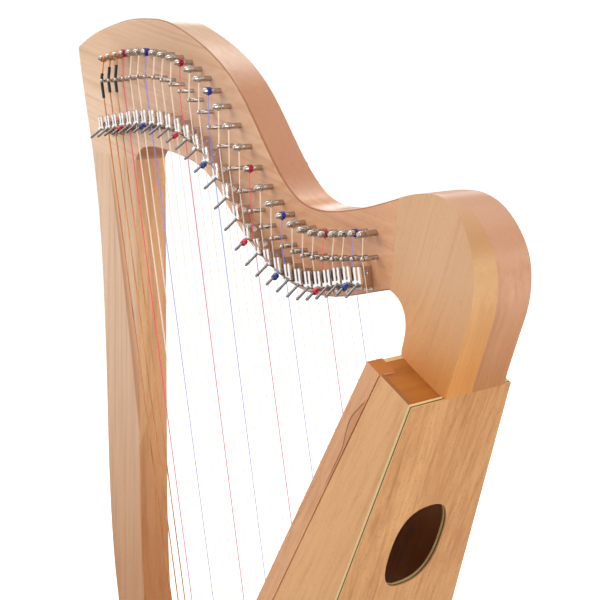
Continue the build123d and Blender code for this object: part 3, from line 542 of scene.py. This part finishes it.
# Columns: linear colour, roughness, wear.
METALS = {
    "polished_nickel": ((0.90, 0.90, 0.91), 0.15, 0.4),
    "handle_steel": ((0.22, 0.21, 0.205), 0.22, 0.9),
    "pin_nickel": ((0.50, 0.46, 0.42), 0.10, 0.8),
    "bracket_nickel": ((0.60, 0.50, 0.42), 0.24, 0.9),
    "zinc_steel": ((0.50, 0.50, 0.52), 0.32, 1.0),
    "brass": ((0.80, 0.58, 0.25), 0.22, 0.8),
}
PLASTICS = {
    "black_tube": dict(colour=(24, 24, 26), rough=0.45),
    "rubber": dict(colour=(22, 22, 22), rough=0.75),
    "cord": dict(colour=(214, 210, 196), rough=0.6),
    # painted light: the three nylon strings glow, brighter than their lighting makes them
    "nylon_clear": dict(colour=(244, 224, 212), rough=0.22, clear=0.52,
                        painted_glow=((1.0, 0.86, 0.80), 0.30)),
    "nylon_red": dict(colour=(216, 24, 50), rough=0.22, clear=0.42,
                      painted_glow=((1.0, 0.22, 0.32), 0.34)),
    "nylon_blue": dict(colour=(70, 74, 190), rough=0.22, clear=0.50,
                       painted_glow=((0.42, 0.44, 1.0), 0.42)),
    "coil_clear": dict(colour=(190, 166, 146), rough=0.10, clear=0.74),
    "coil_red": dict(colour=(176, 14, 38), rough=0.14, clear=0.05),
    "coil_blue": dict(colour=(34, 44, 150), rough=0.14, clear=0.08),
    "cap_red": dict(colour=(206, 18, 46), rough=0.22, coat=0.5),
    "cap_blue": dict(colour=(12, 52, 142), rough=0.22, coat=0.5),
}
for name, row in METALS.items():
    MATS[name] = metal(name, *row)
for name, options in PLASTICS.items():
    MATS[name] = plastic(name, **options)
MATS["copper_winding"] = copper("copper_winding")

# which CAD pieces wear each material
WORN_BY = {
    "beech_neck": ("neck",),
    "beech_pillar": ("pillar",),
    "beech_block": ("shoulder_block",),
    "beech_cheek": ("shoulder_cheek",),
    "beech_side": ("left_side_panel", "right_side_panel"),
    "beech_strip": ("edge_strips",),
    "beech_rib": ("string_rib",),
    "beech_plinth": ("plinth",),
    "beech_ply": ("back_panel",),
    "soundboard_wood": ("soundboard",),
    "top_board_wood": ("top_board",),
    "inner_wood": ("bottom_board", "box_framing", "inner_rib", "neck_dowels"),
    "brass": ("string_eyelets",),
    "cord": ("string_knots",),
    "rubber": ("rubber_feet",),
    "black_tube": ("string_sleeves",),
    "bracket_nickel": ("lever_brackets",),
    "zinc_steel": ("foot_screws", "pillar_bolt", "lever_screws", "lever_pivots"),
}
for name, nodes in WORN_BY.items():
    for node in nodes:
        worn = NODES[node].data.materials
        worn.clear()
        worn.append(MATS[name].data)


# ---------------------------------------------------------------------------
# mesh building: a part is (vertices, faces)
# ---------------------------------------------------------------------------
def add_mesh(name, verts, faces, mat, uvs=None):
    mesh = bpy.data.meshes.new(name)
    mesh.from_pydata([tuple(v) for v in verts], [], faces)
    mesh.update()
    for polygon in mesh.polygons:
        polygon.use_smooth = True
    ob = bpy.data.objects.new(name, mesh)
    bpy.context.scene.collection.objects.link(ob)
    if uvs is not None:
        layer = mesh.uv_layers.new(name="UVMap")
        for loop in mesh.loops:
            layer.data[loop.index].uv = uvs[loop.vertex_index]
    mesh.materials.append(mat.data)
    return ob


def sharpen(ob, degrees):
    """Marks edges steeper than an angle as sharp."""
    ob.data.set_sharp_from_angle(angle=math.radians(degrees))


def attach(ob, body, node):
    """Puts an object in place of a CAD node, moving with a body."""
    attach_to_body(ob, body)
    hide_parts(node)


def skin(rings, sides):
    """Faces joining equal rings of vertices, without caps."""
    faces = []
    for i in range(rings - 1):
        a, b = i * sides, (i + 1) * sides
        for k in range(sides):
            k2 = (k + 1) % sides
            faces.append((a + k, a + k2, b + k2, b + k))
    return faces


def tube(points, radius, sides):
    """Capped round tube; also returns UVs, whose V is the length in metres."""
    count = len(points)
    tangents = [(points[min(i + 1, count - 1)] - points[max(i - 1, 0)]).normalized()
                for i in range(count)]
    up = Vector((0, 1, 0)) if abs(tangents[0].y) < 0.9 else Vector((1, 0, 0))
    side = (up - tangents[0] * up.dot(tangents[0])).normalized()
    verts, uvs = [], []
    length = 0.0
    for i, (point, tangent) in enumerate(zip(points, tangents)):
        if i:
            length += (point - points[i - 1]).length
            side = (side - tangent * side.dot(tangent)).normalized()
        other = tangent.cross(side)
        for k in range(sides):
            angle = 2 * math.pi * k / sides
            verts.append(point + (side * math.cos(angle) + other * math.sin(angle)) * radius)
            uvs.append((k / sides, length))
    faces = skin(count, sides)
    faces.append(tuple(range(sides))[::-1])
    faces.append(tuple((count - 1) * sides + k for k in range(sides)))
    return verts, faces, uvs


def lathe(profile, sides):
    """Turns (radius, height) points about Z; a zero radius closes to one vertex."""
    verts, faces, rings = [], [], []
    for radius, height in profile:
        if radius < 1e-9:
            rings.append([len(verts)])
            verts.append(Vector((0, 0, height)))
            continue
        rings.append(list(range(len(verts), len(verts) + sides)))
        for k in range(sides):
            angle = 2 * math.pi * k / sides
            verts.append(Vector((radius * math.cos(angle), radius * math.sin(angle), height)))
    for a, b in zip(rings, rings[1:]):
        for k in range(sides):
            k2 = (k + 1) % sides
            if len(a) == 1:
                faces.append((a[0], b[k2], b[k]))
            elif len(b) == 1:
                faces.append((a[k], a[k2], b[0]))
            else:
                faces.append((a[k], a[k2], b[k2], b[k]))
    return verts, faces


def merge(parts):
    verts, faces = [], []
    for part in parts:
        offset = len(verts)
        verts += part[0]
        faces += [tuple(i + offset for i in face) for face in part[1]]
    return verts, faces


def placed(part, matrix):
    verts, faces = part
    return [matrix @ v for v in verts], faces


def arc(x, y, radius, start, end, steps):
    """Points of an arc, with its angles in degrees."""
    angles = [math.radians(start + (end - start) * i / steps) for i in range(steps + 1)]
    return [(x + radius * math.cos(a), y + radius * math.sin(a)) for a in angles]


def plate(outline, low, high, to_space, bevel):
    """Extrudes a closed outline between two heights and rounds its edges."""
    bm = bmesh.new()
    face = bm.faces.new([bm.verts.new(to_space(x, y, low)) for x, y in outline])
    made = bmesh.ops.extrude_face_region(bm, geom=[face])["geom"]
    bmesh.ops.translate(bm, verts=[g for g in made if isinstance(g, bmesh.types.BMVert)],
                        vec=to_space(0, 0, high) - to_space(0, 0, low))
    bmesh.ops.recalc_face_normals(bm, faces=bm.faces)
    rim = [edge for edge in bm.edges if len(edge.link_faces) == 2
           and edge.link_faces[0].normal.angle(edge.link_faces[1].normal) > math.radians(60)]
    bmesh.ops.bevel(bm, geom=rim, offset=bevel, segments=2, profile=0.6, affect="EDGES",
                    clamp_overlap=True)
    bmesh.ops.triangulate(bm, faces=[face for face in bm.faces if len(face.verts) > 4])
    verts = [v.co.copy() for v in bm.verts]
    index = {v: i for i, v in enumerate(bm.verts)}
    faces = [tuple(index[v] for v in face.verts) for face in bm.faces]
    bm.free()
    return verts, faces


# ---------------------------------------------------------------------------
# tuning pins and bridge pins, measured in mm from the -Y tip
# ---------------------------------------------------------------------------
def at_tip(centre, tip_y):
    """Local Z points along world -Y, from the pin's tip."""
    turn = Matrix.Rotation(math.radians(90), 4, "X")
    return Matrix.Translation((centre[0], tip_y, centre[2])) @ turn


def turned(profile, place, sides):
    """A turned part; profile points are (radius, depth from the tip)."""
    return placed(lathe([(r * MM, -depth * MM) for r, depth in profile], sides), place)


def key_square(neck_far, length):
    """Tapered square with cut corners for the tuning key, in metres."""
    root, end = KEY_SQUARE / 2 * 1.06, KEY_SQUARE / 2 * 0.92
    # depth, half width, corner cut
    stations = ((neck_far + 1.2, root, 0.5), (neck_far + 9.0, root * 0.98, 0.45),
                (length - 0.7, end, 0.4), (length, end - 0.55, 0.25))
    verts = []
    for depth, half, cut in stations:
        for sx, sy in ((1, -1), (1, 1), (-1, 1), (-1, -1)):
            corner = [(sx * (half - cut), sy * half), (sx * half, sy * (half - cut))]
            if sx * sy > 0:
                corner.reverse()
            verts += [Vector((x * MM, y * MM, -depth * MM)) for x, y in corner]
    faces = skin(len(stations), 8)
    faces.append(tuple(range(len(verts) - 8, len(verts))))
    faces.append(tuple(reversed(range(8))))
    return verts, faces


def tuning_pin(centre, tip_y, end_y):
    length = (end_y - tip_y) / MM
    neck_far = (Y_FAR - tip_y) / MM
    place = at_tip(centre, tip_y)
    shaft = [(0, 0.0), (1.3, 0.0), (1.85, 0.35), (2.3, 1.2), (PEG_R, 2.2),
             (PEG_R, neck_far - 4)]
    collar = [(PEG_R, neck_far - 4), (PEG_R, neck_far + 1.7), (2.25, neck_far + 2.1),
              (0, neck_far + 2.1)]
    return [turned(shaft, place, 24), turned(collar, place, 24),
            placed(key_square(neck_far, length), place)]


def bridge_pin(number, centre, tip_y, end_y):
    groove = (Y_FACE - tip_y) / MM - STRING_OUT
    half = 1.7 if number in WOUND else 0.95      # half the groove's width
    depth = (end_y - tip_y) / MM
    profile = [(0, 0), (0.7, 0.02), (1.25, 0.16), (1.68, 0.48), (BRIDGE_R, 1.0),
               (BRIDGE_R, groove - half), (1.62, groove - half * 0.55),
               (BRIDGE_NECK_R, groove - half * 0.2), (BRIDGE_NECK_R, groove + half * 0.2),
               (1.62, groove + half * 0.55), (BRIDGE_R, groove + half),
               (BRIDGE_R, depth), (0, depth)]
    return turned(profile, at_tip(centre, tip_y), 20)


def add_pins(name, parts, sharp_angle, node):
    pins = add_mesh(name, *merge(parts), MATS["pin_nickel"])
    sharpen(pins, sharp_angle)
    attach(pins, "harp", node)


add_pins("tuning_pins_turned", [part for peg in PEGS for part in tuning_pin(*peg)],
         32, "tuning_pins")
add_pins("bridge_pins_turned", [bridge_pin(i + 1, *pin) for i, pin in enumerate(BRIDGES)],
         38, "bridge_pins")

# ---------------------------------------------------------------------------
# strings, with their coils and tails
# ---------------------------------------------------------------------------
STRING_SIDES = 10
PLAIN_SEGMENTS = 14        # from the box up to and including the first step of the coil
STEPS_PER_TURN = 22


def string_kind(number):
    for kind, numbers in (("wound", WOUND), ("red", RED), ("blue", BLUE)):
        if number in numbers:
            return kind
    return "clear"


def eyelet_mouth(points):
    """Centre of an eyelet's outer end, in mm."""
    into = points @ np.array(INTO_BOX)
    down = points @ np.array(DOWN)
    middle = float((down.min() + down.max()) / 2)
    return (INTO_BOX * float(into.min()) + DOWN * middle) / MM


def string_path(number):
    """Centre line in mm, from inside the box to the cut tail."""
    i = number - 1
    radius = STRING_R[i]
    kind = string_kind(number)
    peg_x, peg_z = PEGS[i][0][0] / MM, PEGS[i][0][2] / MM
    pin_x, pin_z = BRIDGES[i][0][0] / MM, BRIDGES[i][0][2] / MM
    face = Y_FACE / MM

    # up from the eyelet and past the bridge pin
    wrap = SLEEVE_R if kind == "wound" else radius
    bridge = Vector((pin_x - GROOVE_R - wrap - 0.03, face - STRING_OUT, pin_z))
    mouth = eyelet_mouth(EYES[i])
    eye = mouth - INTO_BOX * 0.45
    rise = (bridge - eye).normalized()
    run = (bridge - eye).length
    points = [mouth + INTO_BOX * 13.0, eye + INTO_BOX * 1.2, eye + INTO_BOX * 0.35, eye,
              eye + rise * 0.6]
    points += [eye + rise * (run * share) for share in (0.25, 0.5, 0.75)]
    points += [bridge - rise * 2.2, bridge + Vector((-0.05, 0, -0.9)),
               bridge + Vector((-0.05, 0, 0.9))]

    # on to the tangent point on the tuning pin
    tilt = math.atan2(bridge.x - (peg_x - PEG_R - radius), peg_z - pin_z)
    coil_r = PEG_R + radius + 0.02
    start = math.pi + tilt
    coil_y = face - COIL_OUT
    touch = Vector((peg_x + coil_r * math.cos(start), coil_y,
                    peg_z + coil_r * math.sin(start)))
    up = (touch - bridge).normalized()
    points += [bridge + up * 2.4, bridge + up * ((touch - bridge).length * 0.5)]

    # the coil, advancing toward the pin's tip
    turns = 3.0 if kind == "wound" else 3.6
    advance = 2 * radius * 1.02 * turns
    steps = int(turns * STEPS_PER_TURN)
    for step in range(steps + 1):
        angle = start - 2 * math.pi * turns * step / steps
        points.append(Vector((peg_x + coil_r * math.cos(angle), coil_y - advance * step / steps,
                              peg_z + coil_r * math.sin(angle))))

    # the tail turns out of the coil and is cut off square
    angle = start - 2 * math.pi * turns
    radial = Vector((math.cos(angle), 0, math.sin(angle)))
    tangent = Vector((math.sin(angle), 0, -math.cos(angle)))
    last = Vector((peg_x + coil_r * radial.x, coil_y - advance - 0.25,
                   peg_z + coil_r * radial.z))
    tail = 3.4 if kind in ("red", "blue") else 2.6
    for reach in (0.5, 1.2, 2.2, tail):
        points.append(last + tangent * (0.9 * min(reach, 1.6)) + radial * (0.55 * reach)
                      + Vector((0, -0.05 * reach, 0)))
    return points


def add_strings(kind, run_material, coil_material):
    parts = [tube([point * MM for point in string_path(number)],
                  STRING_R[number - 1] * MM, STRING_SIDES)
             for number in STRINGS if string_kind(number) == kind]
    verts, faces = merge(parts)
    uvs = [uv for part in parts for uv in part[2]]
    ob = add_mesh("coiled_strings_" + kind, verts, faces, MATS[run_material], uvs)
    if coil_material:
        ob.data.materials.append(MATS[coil_material].data)
        offset = 0
        for part in parts:
            end = offset + len(part[1])
            for polygon in range(offset + PLAIN_SEGMENTS * STRING_SIDES, end):
                ob.data.polygons[polygon].material_index = 1
            offset = end
    sharpen(ob, 60)
    attach(ob, "harp", "strings_" + kind)


add_strings("wound", "copper_winding", None)
for kind in ("red", "blue", "clear"):
    add_strings(kind, "nylon_" + kind, "coil_" + kind)

# ---------------------------------------------------------------------------
# sharping levers, in mm from the pivot: x across the string, y up it, z out from the neck
# ---------------------------------------------------------------------------
LEVER_EDGE = -6.1          # outer side of the arm and of the fork plate
CAP_LENGTH = 5.2


def fork_plate():
    """Two rounded prongs with a slot between them, and a foot that meets the arm."""
    slot, half, tip, root = 1.1, 3.7, 11.0, 0.4      # slot and half are half widths
    prong_r = (half - slot) / 2
    outline = [(LEVER_EDGE, root - 2.6), (LEVER_EDGE, root - 3.0), (half - 0.9, root - 3.0)]
    outline += arc(half - 0.9, root - 2.1, 0.9, -90, 0, 4)[1:]
    outline += arc(slot + prong_r, tip - prong_r, prong_r, 0, 180, 8)
    outline += arc(0, root + slot, slot, 0, -180, 8)
    outline += arc(-slot - prong_r, tip - prong_r, prong_r, 0, 180, 8)
    outline += [(-half, root + 1.4)]
    outline += arc(-half - 1.0, root + 1.0, 1.0, 0, -90, 3)
    outline += [(LEVER_EDGE, root)]
    return plate(outline, 4.3, 6.3, lambda x, y, z: Vector((x, y, z)), bevel=0.32)


def arm():
    """Round hub and arm, drawn in the y-z plane."""
    outline = arc(0, 0, 3.0, 130, 385, 26)
    outline += [(1.0, 3.6), (0.85, 4.6), (0.4, 6.28), (-2.6, 6.28), (-2.7, 3.6)]
    return plate(outline, LEVER_EDGE, -3.9, lambda x, y, z: Vector((z, x, y)), bevel=0.25)


def along(start, end):
    """Matrix with local Z running from start to end."""
    turn = (end - start).normalized().to_track_quat("Z", "Y")
    return Matrix.Translation(start) @ turn.to_matrix().to_4x4()


def handle(start, end):
    """A slim rod, flattened past its root and a little thicker at its rounded end."""
    length = (end - start).length
    profile = [(0, -0.5), (1.5, -0.5), (1.62, 0.5), (1.42, 1.6), (1.28, 3.0),
               (1.28, length * 0.55), (1.4, length * 0.8), (1.48, length - 0.4),
               (1.36, length + 0.45), (0.95, length + 1.05), (0.4, length + 1.35),
               (0, length + 1.42)]
    verts, faces = lathe(profile, 20)
    flat = [Vector((v.x, v.y * (1.0 if v.z < 1.5 else 0.82), v.z)) for v in verts]
    return placed((flat, faces), along(start, end))


def cap(start, end):
    """Plastic sleeve on the handles of the red and blue strings' levers."""
    direction = (end - start).normalized()
    base = Vector((0, -1.3, 3.9)) + direction * 3.6
    rounding = [(1.30, 0.15), (1.7, 0.0), (2.2, 0.12), (2.5, 0.55), (2.6, 1.2)]
    profile = rounding + [(r, CAP_LENGTH - height) for r, height in reversed(rounding)]
    return placed(lathe(profile, 22), along(base, base + direction))


def add_lever(number):
    node = "lever_%02d" % number
    joint = JOINT[node + "_flip"]
    across = -Vector(joint["axis"]).normalized()
    out = Vector((0, -1, 0))
    up = out.cross(across)
    pivot = Vector(joint["pos_m"])
    axes = Matrix((across, up, out)).transposed().to_4x4()
    place = Matrix.Translation(pivot) @ axes @ Matrix.Scale(MM, 4)

    start = Vector((0, -1.15, 4.6))
    end = Vector((0, -9.6, HANDLE_OUT - (Y_FACE - pivot.y) / MM))
    parts = [fork_plate(), arm(), handle(start, end)]
    ob = add_mesh(node + "_forged", *merge([placed(part, place) for part in parts]),
                  MATS["polished_nickel"])
    ob.data.materials.append(MATS["handle_steel"].data)
    first_of_handle = len(parts[0][1]) + len(parts[1][1])
    for polygon in ob.data.polygons[first_of_handle:]:
        polygon.material_index = 1
    sharpen(ob, 42)
    normals = ob.modifiers.new("normals", "WEIGHTED_NORMAL")
    normals.keep_sharp = True
    normals.weight = 90
    attach(ob, joint["child"], node)

    kind = string_kind(number)
    if kind in ("red", "blue"):
        sleeve = add_mesh(node + "_cap", *placed(cap(start, end), place), MATS["cap_" + kind])
        sharpen(sleeve, 50)
        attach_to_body(sleeve, joint["child"])


for number in STRINGS:
    add_lever(number)


# ---------------------------------------------------------------------------
# softened edges on the CAD pieces that stay
# ---------------------------------------------------------------------------
BEVEL_WIDTHS = {           # mm
    "lever_brackets": 0.22, "edge_strips": 0.5, "left_side_panel": 0.3,
    "right_side_panel": 0.3, "back_panel": 0.35, "shoulder_cheek": 1.1,
    "shoulder_block": 0.6, "string_rib": 0.8,
}


def soften(node, width):
    ob = NODES[node]
    for polygon in ob.data.polygons:
        polygon.use_smooth = True
    weld = ob.modifiers.new("weld", "WELD")
    weld.merge_threshold = 1e-6
    bevel = ob.modifiers.new("bevel", "BEVEL")
    bevel.width = width * MM
    bevel.segments = 2
    bevel.limit_method = "ANGLE"
    bevel.angle_limit = math.radians(35)
    bevel.harden_normals = False
    bevel.use_clamp_overlap = True
    normals = ob.modifiers.new("normals", "WEIGHTED_NORMAL")
    normals.keep_sharp = False


for node, width in BEVEL_WIDTHS.items():
    soften(node, width)


# ---------------------------------------------------------------------------
# studio: a pale round floor with a rising rim, world, lights and camera
# ---------------------------------------------------------------------------
def floor_material():
    mat = Material("studio_floor")
    mottle = mat.mul(mat.noise(mat.coords(), 3, detail=2), 0.10)
    # the glow is seen by the camera only and lights nothing
    seen = mat.node("ShaderNodeLightPath").outputs["Is Camera Ray"]
    mat.set(Base_Color=mat.mix(mottle, (0.90, 0.90, 0.90, 1), (0.87, 0.87, 0.87, 1)),
            Emission_Strength=mat.mul(seen, 0.66), Emission_Color=(1, 1, 1, 1),
            Roughness=0.8, Specular_IOR_Level=0.1)
    return mat


def add_floor():
    flat_r, rim_r, steps = 8.0, 6.0, 9      # metres
    profile = [(0.0, 0.0), (0.6, 0.0), (3.0, 0.0), (flat_r, 0.0)]
    for step in range(1, steps + 1):
        angle = math.radians(90 * step / steps)
        profile.append((flat_r + rim_r * math.sin(angle), rim_r * (1 - math.cos(angle))))
    floor = add_mesh("studio_sweep", *lathe(profile, 64), floor_material())
    floor.visible_glossy = False


# What reflections see.  Columns: height from straight down (0) to straight up (1), colour.
REFLECTED_ROOM = (
    (0.0, (0.55, 0.52, 0.50, 1)), (0.24, (0.30, 0.26, 0.22, 1)),
    (0.34, (1.22, 1.19, 1.14, 1)), (0.482, (1.22, 1.19, 1.14, 1)),
    (0.50, (0.04, 0.03, 0.025, 1)), (0.56, (0.05, 0.04, 0.035, 1)),
    (0.59, (2.6, 2.6, 2.65, 1)), (0.67, (2.4, 2.4, 2.45, 1)),
    (0.71, (0.5, 0.5, 0.5, 1)), (0.74, (0.05, 0.045, 0.04, 1)),
    (0.81, (0.05, 0.045, 0.04, 1)), (0.845, (3.4, 3.4, 3.5, 1)),
    (0.885, (1.3, 1.3, 1.35, 1)), (0.93, (0.3, 0.28, 0.26, 1)),
    (1.0, (0.6, 0.6, 0.6, 1)),
)


def set_world():
    """Even white light, with a dark room and bright bands for reflections."""
    world = bpy.data.worlds.new("studio")
    bpy.context.scene.world = world
    world.use_nodes = True
    graph = Graph(world.node_tree)
    output = graph.node("ShaderNodeOutputWorld")
    even = graph.node("ShaderNodeBackground", {"Color": (1.0, 1.0, 1.0, 1), "Strength": 0.46})
    height = graph.ramp(graph.xyz(graph.coords("Generated"))[2], start=-1.0, end=1.0)
    room = graph.node("ShaderNodeBackground", {
        "Color": graph.colour_ramp(height, REFLECTED_ROOM), "Strength": 0.9})
    reflected = graph.node("ShaderNodeLightPath").outputs["Is Glossy Ray"]
    both = graph.node("ShaderNodeMixShader", {
        0: reflected, 1: even.outputs[0], 2: room.outputs[0]})
    graph.feed(output.inputs[0], both.outputs[0])


def add_light(name, place, target, size, watts, colour=(1, 1, 1)):
    light = bpy.data.lights.new(name, "AREA")
    light.shape = "RECTANGLE"
    light.size = light.size_y = size
    light.energy = watts
    light.color = colour
    ob = bpy.data.objects.new(name, light)
    ob.location = place
    ob.rotation_euler = (Vector(target) - Vector(place)).to_track_quat("-Z", "Y").to_euler()
    bpy.context.scene.collection.objects.link(ob)


def add_camera():
    lens = bpy.data.cameras.new("photo_camera")
    lens.lens = 66.0
    lens.sensor_width = 36.0
    lens.clip_start = 0.02
    lens.clip_end = 60.0
    camera = bpy.data.objects.new("photo_camera", lens)
    right = (0.61303288, 0.78994685, 0.01321622)
    up = (-0.19726532, 0.13684523, 0.97075217)
    back = (0.76503404, -0.5977101, 0.23971974)
    place = (0.779784, -0.53423, 0.99263)
    camera.matrix_world = Matrix(tuple(zip(right, up, back, place)) + ((0, 0, 0, 1),))
    bpy.context.scene.collection.objects.link(camera)
    bpy.context.scene.camera = camera


add_floor()
set_world()
add_light("key", place=(-1.1, -2.5, 2.3), target=(0, 0, 0.75), size=1.5, watts=41,
          colour=(1.0, 0.985, 0.965))
add_light("fill", place=(2.6, 0.3, 1.1), target=(0, 0, 0.7), size=1.6, watts=33,
          colour=(1.0, 0.97, 0.93))
add_light("top", place=(-0.5, 0.3, 3.0), target=(0, 0, 0.6), size=1.6, watts=26)
add_camera()

view = bpy.context.scene.view_settings
view.view_transform = "Standard"
view.look = "None"
view.exposure = 0.0
